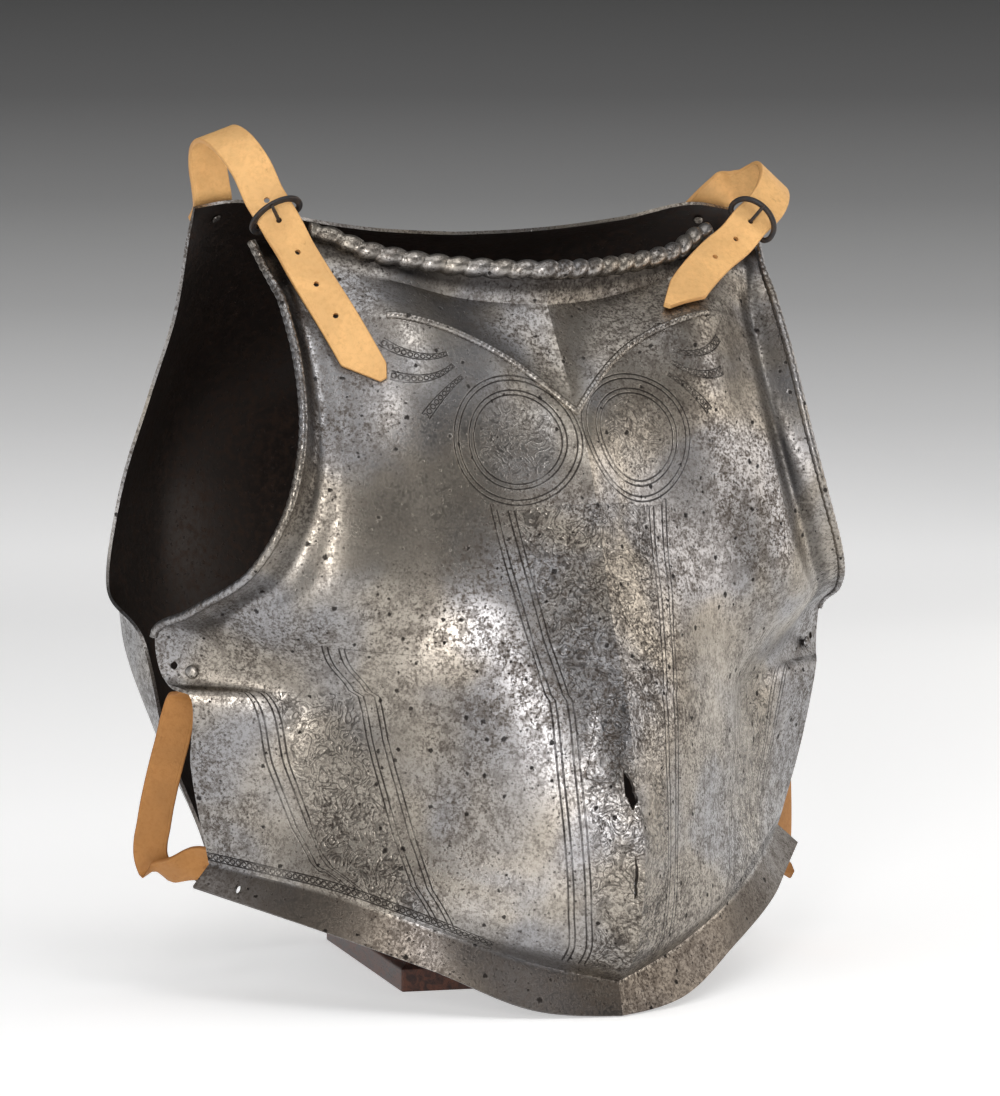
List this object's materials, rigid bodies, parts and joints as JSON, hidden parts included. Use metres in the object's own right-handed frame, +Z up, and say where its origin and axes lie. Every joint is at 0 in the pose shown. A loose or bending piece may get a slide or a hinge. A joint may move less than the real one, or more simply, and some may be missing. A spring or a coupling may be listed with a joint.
{
  "type": "cuirass on a wooden stand",
  "caption": "Plate body armour of a ridged breastplate and a backplate joined by buckled leather shoulder straps, standing on a wooden stand.",
  "frame": {"origin": "centre of the underside of the stand's base", "axes": "+Z up, the wearer faces -Y, the wearer's right is -X"},
  "size_m": [0.4067, 0.36, 0.4553],
  "materials": {
    "plate_steel": "bright steel, lightly pitted",
    "dark_steel": "dark patinated iron",
    "tan_leather": "matt tan leather",
    "brown_leather": "matt brown leather",
    "stand_wood": "dark stained wood"
  },
  "bodies": {
    "root": {"shoulder_strap_right": "tan_leather", "buckle_frame_right": "dark_steel", "buckle_tongue_right": "dark_steel", "buckle_chape_right": "dark_steel", "chape_rivet_right": "plate_steel", "strap_rivet_right": "plate_steel", "shoulder_strap_left": "tan_leather", "buckle_frame_left": "dark_steel", "buckle_tongue_left": "dark_steel", "buckle_chape_left": "dark_steel", "chape_rivet_left": "plate_steel", "strap_rivet_left": "plate_steel", "side_strap_right": "brown_leather", "ear_rivet_right": "plate_steel", "side_strap_lower_rivet_right": "plate_steel", "side_strap_left": "brown_leather", "ear_rivet_left": "plate_steel", "side_strap_lower_rivet_left": "plate_steel", "breastplate": "plate_steel", "backplate": "dark_steel", "stand_post": "stand_wood", "stand_base": "stand_wood"}
  },
  "joints": []
}
